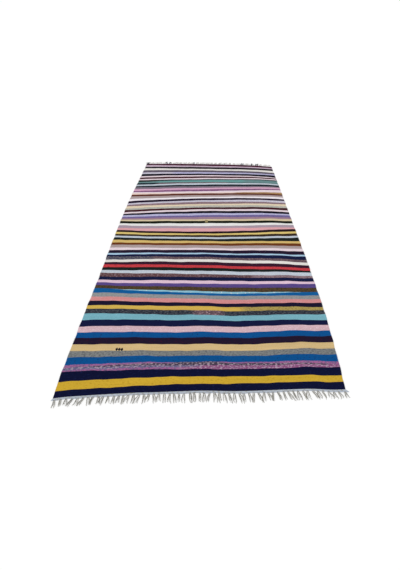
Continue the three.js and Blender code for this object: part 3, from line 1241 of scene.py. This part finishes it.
class KILIM_OT_fringes(bpy.types.Operator):
    """Lays out the strands of both fringes, each of two plies twisted together"""

    bl_idname = "kilim.fringes"
    bl_label = "Twist the fringes"

    def execute(self, context):
        for label, fringe in FRINGES.items():
            bundle = Bundle()
            strands = fringe_strands(fringe)
            for number, strand in enumerate(strands):
                self.twist_strand(context, bundle, fringe, number, strand)
            for left, right in zip(strands[::2], strands[1::2]):
                self.lay_wisps(context, bundle, fringe, left, right)
            if fringe["end"] == FAR:
                self.tie_tuft(context, bundle)
            mesh = bundle.mesh(f"fringe_strands_{label}")
            piece = place_piece(f"fringe_strands_{label}", mesh, twisted_warp())
            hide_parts(fringe["node"])
        return {"FINISHED"}

    def centre_line(self, fringe, strand, share, bulge, wave, hook):
        """The X and Y of a strand's middle, in millimetres, at shares of its length."""
        reached = share * strand["length"] / STRAND_REACH
        arc = np.sin(math.pi * np.clip(reached, 0, 1))
        tip = np.clip((share - TIP_START) / (1 - TIP_START), 0, 1) ** 2
        x = strand["root_x"] + reached * (strand["aim_x"] - strand["root_x"])
        x = x + (strand["curl"] + bulge) * arc + hook * tip
        x = x + wave[0] * np.sin(WAVE_RATE * reached + wave[1])
        drift = GATHER_DRIFT * math.sin(strand["root_x"] / GATHER_LENGTH * 2 * math.pi)
        gather = GATHER_REACH * math.sin(2 * math.pi * strand["root_x"] / GATHER_PITCH + drift)
        x = x + gather * smooth(0.0, GATHERED_AT, share)
        if fringe["end"] == NEAR:
            x = x - CORNER_SHIFT * max(0.0, -strand["root_x"] / (MEAN_WIDTH / 2)) ** CORNER_POWER
        return x, strand["root_y"] + fringe["direction"] * share * strand["length"]

    def twist_strand(self, context, bundle, fringe, number, strand):
        """The two plies of one strand, from inside the band to the tip."""
        sizes = context.scene.kilim_sizes
        seed = fringe["seed"] + STRAND_SEED
        out, sway, phase, bent, hooked, thick, turn, fray, shade = chances(number, seed, 9)
        share = np.linspace(-ROOT_DEPTH / strand["length"], 1.0, STRAND_RINGS)
        bulge = STRAND_BULGE * strand["side"] * (2 * out - BULGE_INWARD)
        wave = (WAVE_HEIGHT * (2 * sway - 1), 2 * math.pi * phase)
        hook = HOOK_MAX * (2 * bent - 1) * (1 if hooked > HOOKED_ABOVE else SLIGHT_HOOK)
        centre_x, centre_y = self.centre_line(fringe, strand, share, bulge, wave, hook)
        ply = sizes.ply_radius * (PLY_LEAST + PLY_RANGE * thick)
        if self.is_dark(fringe, strand):
            ply *= DARK_STRAND
        twist = 2 * math.pi * (share * strand["length"] * MM / sizes.twist_pitch + turn)
        thin = 1 - TIP_THINNING * smooth(THINNING_START, 1.0, share)
        rise = STRAND_RISE * phase + (CROSSING_RISE if strand["side"] > 0 else 0.0)
        height = ply * STRAND_HEIGHT + rise * MM * np.sin(math.pi * np.clip(share, 0, 1))
        offset = ply * PLY_OFFSET * (1 + TIP_OPENING * smooth(TIP_START, 1.0, share) * fray)
        colour = self.strand_colour(fringe, strand, shade)
        for half in (0.0, math.pi):
            z = np.maximum(height + PLY_FLATNESS * offset * np.sin(twist + half), ply * thin)
            path = plan_points(centre_x, centre_y, z)
            path[:, 0] += offset * np.cos(twist + half)
            bundle.add(path, ply * thin, PLY_SIDES, colour)

    def lay_wisps(self, context, bundle, fringe, left, right):
        """The loose single threads of one lock, which cross over its two strands."""
        seed = fringe["seed"] + WISP_SEED
        share = np.linspace(-ROOT_DEPTH / left["length"], 1.0, WISP_RINGS)
        for wisp in range(WISPS):
            number = left["lock"] * WISPS + wisp
            order, crossing, reach, wander, _, shade = chances(number, seed, 6)
            first, second = (left, right) if order < 0.5 else (right, left)
            crossed = share * (WISP_CROSSING + (1 - WISP_CROSSING) * crossing)
            along = share * (WISP_LENGTH_LEAST + WISP_LENGTH_RANGE * reach)
            first_x, y = self.centre_line(fringe, first, along, 0, (0, 0), 0)
            second_x, _ = self.centre_line(fringe, second, along, 0, (0, 0), 0)
            x = first_x + crossed * (second_x - first_x) + WISP_WANDER * (2 * wander - 1) * share ** 2
            ply = context.scene.kilim_sizes.ply_radius
            radius = ply * WISP_SHARE * (1 - WISP_THINNING * np.clip(share, 0, 1))
            z = radius + WISP_RISE * MM * np.sin(math.pi * np.clip(share + WISP_LEAD, 0, 1))
            colour = self.strand_colour(fringe, left, shade)
            bundle.add(plan_points(x, y, z), radius, WISP_SIDES, colour)

    def tie_tuft(self, context, bundle):
        """The dark wool ends that are tied off over the cloth's far-left corner."""
        share = np.linspace(0, 1, WISP_RINGS)
        corner_x, corner_y = cloth_point(np.array(0.0), np.array(1.0))
        radius = context.scene.kilim_sizes.ply_radius * (1 - TUFT_THINNING * share)
        fall = 1 - smooth(TUFT_FALL_START, TUFT_FALL_END, share)
        z = radius + TUFT_RISE * MM * fall * np.sin(math.pi * (TUFT_ARCH_START + TUFT_ARCH * share))
        for end in range(TUFT_ENDS):
            across, back, reach, slant = chances(end, TUFT_SEED, 4)
            length = TUFT_LENGTH * (TUFT_LENGTH_LEAST + (1 - TUFT_LENGTH_LEAST) * reach)
            lean = TUFT_SPREAD * (2 * slant - 1) - TUFT_LEAN
            x = corner_x + TUFT_WIDTH * across + share * length * lean
            x = x + TUFT_WAVE * np.sin(TUFT_WAVE_RATE * share + end)
            y = corner_y - TUFT_DEPTH * back + share * length
            bundle.add(plan_points(x, y, z), radius, WISP_SIDES, dye("dark_navy"))

    def is_dark(self, fringe, strand):
        """Whether a strand belongs to one of the far fringe's dark locks."""
        return fringe["end"] == FAR and strand["lock"] in DARK_LOCKS

    def strand_colour(self, fringe, strand, chance):
        """Dark navy in the dark locks, or the warp's colour, lighter or darker from strand to strand; the
        near fringe takes a darker copy of that colour, which is painted shade.
        """
        if self.is_dark(fringe, strand):
            return dye("dark_navy")
        # The near strands take the darker copy of the warp's colour, painted shade; the far strands take
        # the paler one
        warp_or_shaded_warp = dye("warp") if fringe["end"] == NEAR else dye("pale_warp")
        return warp_or_shaded_warp * (SHADE_LEAST + SHADE_RANGE * chance) * np.array(WARP_TINT)


class KILIM_OT_stitching(bpy.types.Operator):
    """Sews three small dark lozenges on the straw stripe and the darn on the green stripe"""

    bl_idname = "kilim.stitching"
    bl_label = "Sew the hand stitching"

    def execute(self, context):
        self.sew_lozenges(context)
        self.sew_darn(context)
        return {"FINISHED"}

    def thread(self, context, bundle, start, finish, radius, crown, colour):
        """One thread in millimetres that dives into the cloth at both ends."""
        share = np.linspace(0, 1, THREAD_RINGS)
        x = start[0] + share * (finish[0] - start[0])
        y = start[1] + share * (finish[1] - start[1])
        thickness = context.scene.kilim_sizes.thickness
        arch = np.sqrt(np.sin(math.pi * share).clip(0))
        z = cloth_lift(x, y) + thickness + (crown * arch - THREAD_SUNK * radius) * MM
        radii = np.full(THREAD_RINGS, radius * MM)
        bundle.add(plan_points(x, y, z), radii, PLY_SIDES, colour)

    def sew_lozenges(self, context):
        """Three lozenges in a row, each of parallel satin stitches."""
        bundle = Bundle()
        for place in (-1, 0, 1):
            middle_x = LOZENGE_X + LOZENGE_PITCH * place
            for stitch in range(-LOZENGE_STITCHES, LOZENGE_STITCHES + 1):
                x = middle_x + STITCH_PITCH * stitch
                half = LOZENGE_HALF * (1 - abs(stitch) / LOZENGE_TAPER)
                start = (x, LOZENGE_Y - half)
                finish = (x, LOZENGE_Y + half)
                colour = dye("black_navy")
                self.thread(context, bundle, start, finish, STITCH_RADIUS, STITCH_CROWN, colour)
        mesh = bundle.mesh("stitched_lozenges")
        place_piece("stitched_lozenges", mesh, twisted_warp())

    def sew_darn(self, context):
        """A woven repair: threads along the warp with threads across them."""
        bundle = Bundle()
        for upright, threads in ((True, DARN_WARPS), (False, DARN_WEFTS)):
            seed, beside, pitch, half, jitter, radius, crown = threads
            for stitch in range(-beside, beside + 1):
                slip = jitter * (2 * scatter(stitch, seed) - 1)
                if upright:
                    x = DARN_X + pitch * stitch
                    ends = ((x, DARN_Y - half + slip), (x, DARN_Y + half + slip))
                else:
                    y = DARN_Y + pitch * stitch
                    ends = ((DARN_X - half + slip, y), (DARN_X + half + slip, y))
                self.thread(context, bundle, *ends, radius, crown, dye("darning"))
        mesh = bundle.mesh("darn")
        place_piece("darn", mesh, twisted_warp())


class KILIM_OT_stage(bpy.types.Operator):
    """Sets up the pale floor, the soft studio light and the camera"""

    bl_idname = "kilim.stage"
    bl_label = "Set up the stage"

    def execute(self, context):
        self.lay_floor(context)
        self.hang_lights(context)
        self.stand_camera(context)
        context.scene.view_settings.view_transform = "Standard"
        return {"FINISHED"}

    def lay_floor(self, context):
        """A round, level floor that reaches the horizon."""
        points = [(0.0, 0.0, 0.0)]
        for radius in FLOOR_RINGS:
            for k in range(FLOOR_SIDES):
                turn = 2 * math.pi * k / FLOOR_SIDES
                points.append((radius * math.cos(turn), radius * math.sin(turn), 0.0))
        faces = [(0, 1 + k, 1 + (k + 1) % FLOOR_SIDES) for k in range(FLOOR_SIDES)]
        for ring in range(len(FLOOR_RINGS) - 1):
            here = 1 + ring * FLOOR_SIDES
            beyond = here + FLOOR_SIDES
            for k in range(FLOOR_SIDES):
                following = (k + 1) % FLOOR_SIDES
                faces.append((here + k, beyond + k, beyond + following, here + following))
        mesh = bpy.data.meshes.new("floor")
        mesh.from_pydata(points, [], faces)
        floor = new_object("floor", mesh)
        nodes = Nodes("pale_floor")
        place = nodes.add("ShaderNodeTexCoord").outputs["Object"]
        cloud = nodes.noise(nodes.scale_colour(place, FLOOR_CLOUD_RATE), detail=2.0, roughness=0.5)
        pale = nodes.add("ShaderNodeRGB").outputs[0]
        pale.default_value = (*linear(context.scene.kilim_stage.floor), 1.0)
        light = nodes.total(1.0, (nodes.centred(cloud), FLOOR_CLOUD))
        nodes.surface(nodes.scale_colour(pale, light), roughness=0.9, specular=0.1)
        mesh.materials.append(nodes.material)

    def hang_lights(self, context):
        """Even light from all round and one wide, soft lamp from the upper left."""
        stage = context.scene.kilim_stage
        world = bpy.data.worlds.new("soft_light")
        world.use_nodes = True
        background = world.node_tree.nodes["Background"]
        background.inputs["Color"].default_value = (1.0, 1.0, 1.0, 1.0)
        background.inputs["Strength"].default_value = stage.sky
        context.scene.world = world
        lamp = bpy.data.lights.new("overhead_lamp", "SUN")
        lamp.angle = math.radians(LAMP_SPREAD)
        lamp.energy = stage.key
        hook = new_object("overhead_lamp", lamp)
        hook.rotation_euler = Vector(LAMP_AIM).to_track_quat("-Z", "Y").to_euler()

    def stand_camera(self, context):
        """The camera at the picture's place and angle."""
        forward = Vector((
            math.sin(CAMERA_YAW) * math.cos(CAMERA_PITCH),
            math.cos(CAMERA_YAW) * math.cos(CAMERA_PITCH),
            -math.sin(CAMERA_PITCH),
        ))
        level = Vector((math.cos(CAMERA_YAW), -math.sin(CAMERA_YAW), 0.0))
        upright = level.cross(forward)
        right = math.cos(CAMERA_ROLL) * level + math.sin(CAMERA_ROLL) * upright
        up = math.cos(CAMERA_ROLL) * upright - math.sin(CAMERA_ROLL) * level
        camera = bpy.data.cameras.new("camera")
        camera.lens = CAMERA_LENS
        camera.sensor_width = CAMERA_SENSOR
        camera.clip_start = CAMERA_NEAREST
        camera.clip_end = CAMERA_REACH
        holder = new_object("camera", camera)
        turned = Matrix((right, up, -forward)).transposed()
        place = Vector(CAMERA_PLACE) + Vector((SHIFT_X, SHIFT_Y, 0.0))
        holder.matrix_world = Matrix.Translation(place) @ turned.to_4x4()
        context.scene.camera = holder


class KILIM_PT_panel(bpy.types.Panel):
    """Lists the kilim's sizes, its dyes and the steps that build it"""

    bl_idname = "KILIM_PT_panel"
    bl_label = "Striped Kilim"
    bl_space_type = "VIEW_3D"
    bl_region_type = "UI"
    bl_category = "Kilim"

    def draw(self, context):
        layout = self.layout
        for operator in OPERATORS:
            layout.operator(operator.bl_idname)
        for group in (context.scene.kilim_sizes, context.scene.kilim_stage, context.scene.kilim_dyes):
            box = layout.box()
            for name in group.__annotations__:
                box.prop(group, name)


OPERATORS = (
    KILIM_OT_cloth,
    KILIM_OT_end_bands,
    KILIM_OT_fringes,
    KILIM_OT_stitching,
    KILIM_OT_stage,
)
SETTINGS = {"kilim_dyes": KilimDyes, "kilim_sizes": KilimSizes, "kilim_stage": KilimStage}
CLASSES = (*SETTINGS.values(), *OPERATORS, KILIM_PT_panel)


def register():
    """Adds the classes and the scene's settings."""
    for kind in CLASSES:
        bpy.utils.register_class(kind)
    for name, group in SETTINGS.items():
        setattr(bpy.types.Scene, name, bpy.props.PointerProperty(type=group))


def unregister():
    """Removes the scene's settings and the classes."""
    for name in SETTINGS:
        delattr(bpy.types.Scene, name)
    for kind in reversed(CLASSES):
        bpy.utils.unregister_class(kind)


def main():
    register()
    bpy.ops.kilim.cloth()
    bpy.ops.kilim.end_bands()
    bpy.ops.kilim.fringes()
    bpy.ops.kilim.stitching()
    bpy.ops.kilim.stage()


if __name__ == "__main__":
    main()
